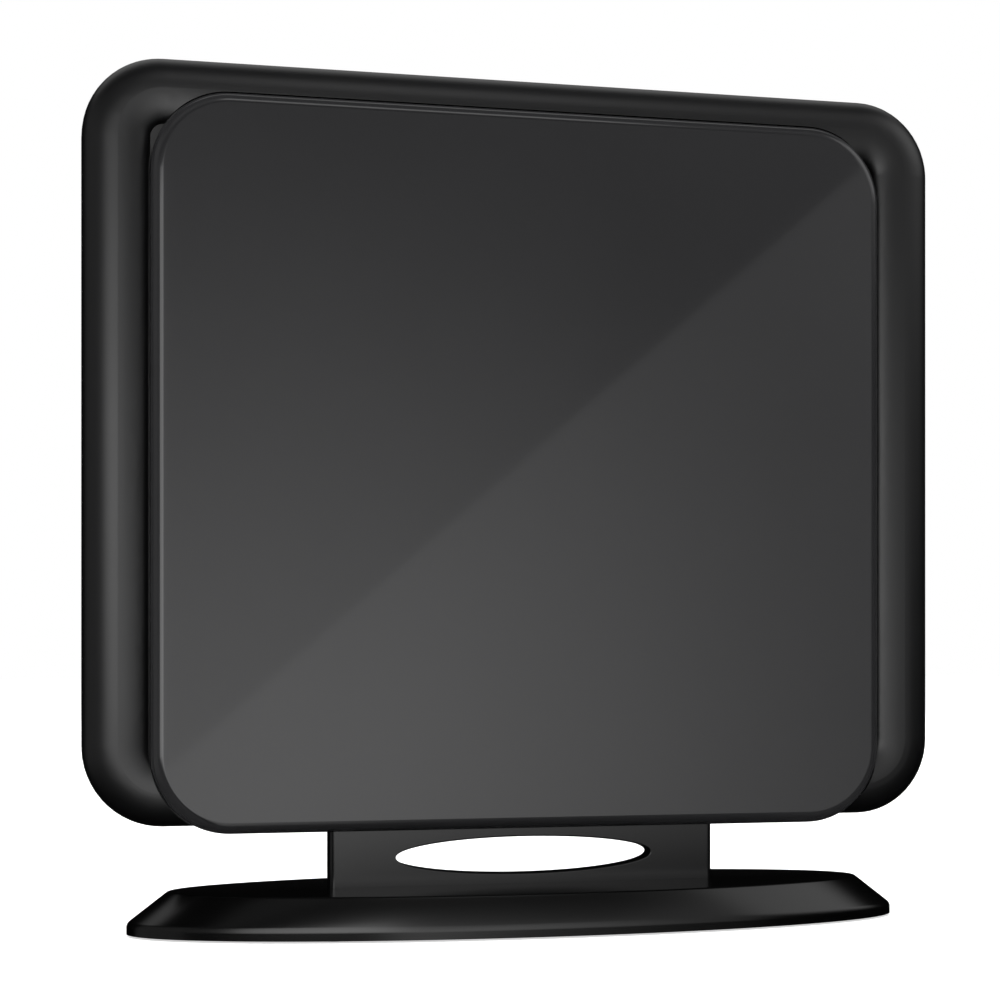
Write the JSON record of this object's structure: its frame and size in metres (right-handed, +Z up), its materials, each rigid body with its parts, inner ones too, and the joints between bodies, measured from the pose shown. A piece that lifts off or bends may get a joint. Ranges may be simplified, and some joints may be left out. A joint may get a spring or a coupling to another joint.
{
  "type": "indoor tv antenna",
  "caption": "Table-top TV antenna: flat panel head with rolled rim and raised glossy face, on a short neck with an oval window and a weighted oval base; threaded coaxial socket at the back.",
  "frame": {"origin": "on the table under the middle of the base", "axes": "+X to the right seen from the front, +Y to the back, +Z up; the face looks along -Y"},
  "size_m": [0.34, 0.093, 0.3289],
  "materials": {
    "face_gloss": "polished dark grey",
    "rim_gloss": "polished black",
    "back_satin": "fine grained black",
    "board": "solder resist",
    "sheet": "mill finish",
    "zinc": "zinc plated",
    "ferrite": "sintered",
    "contact": "plated",
    "lead": "smooth sheath",
    "nickel": "nickel plated",
    "insulator": "natural white",
    "black_steel": "black oxide",
    "neck_satin": "satin dark grey",
    "base_gloss": "polished black",
    "plate": "black powder coat",
    "ballast": "raw",
    "pad": "soft matt"
  },
  "bodies": {
    "root": {"face_panel": "face_gloss", "front_bezel": "rim_gloss", "rear_cover": "back_satin", "element_board": "board", "uhf_wing_left": "sheet", "uhf_wing_right": "sheet", "vhf_loop": "sheet", "element_rivets": "sheet", "reflector_plate": "sheet", "board_screws": "zinc", "balun_can": "zinc", "balun_core": "ferrite", "feed_pins": "contact", "feed_lead": "lead", "socket_body": "nickel", "socket_insulator": "insulator", "socket_contact": "contact", "socket_washer": "zinc", "socket_nut": "nickel", "case_screws": "black_steel", "stand_neck": "neck_satin", "base_cover": "base_gloss", "base_plate": "plate", "ballast_plate": "ballast", "base_screws": "black_steel", "stand_screws": "black_steel", "foot_front_left": "pad", "foot_front_right": "pad", "foot_rear_left": "pad", "foot_rear_right": "pad"}
  },
  "joints": []
}
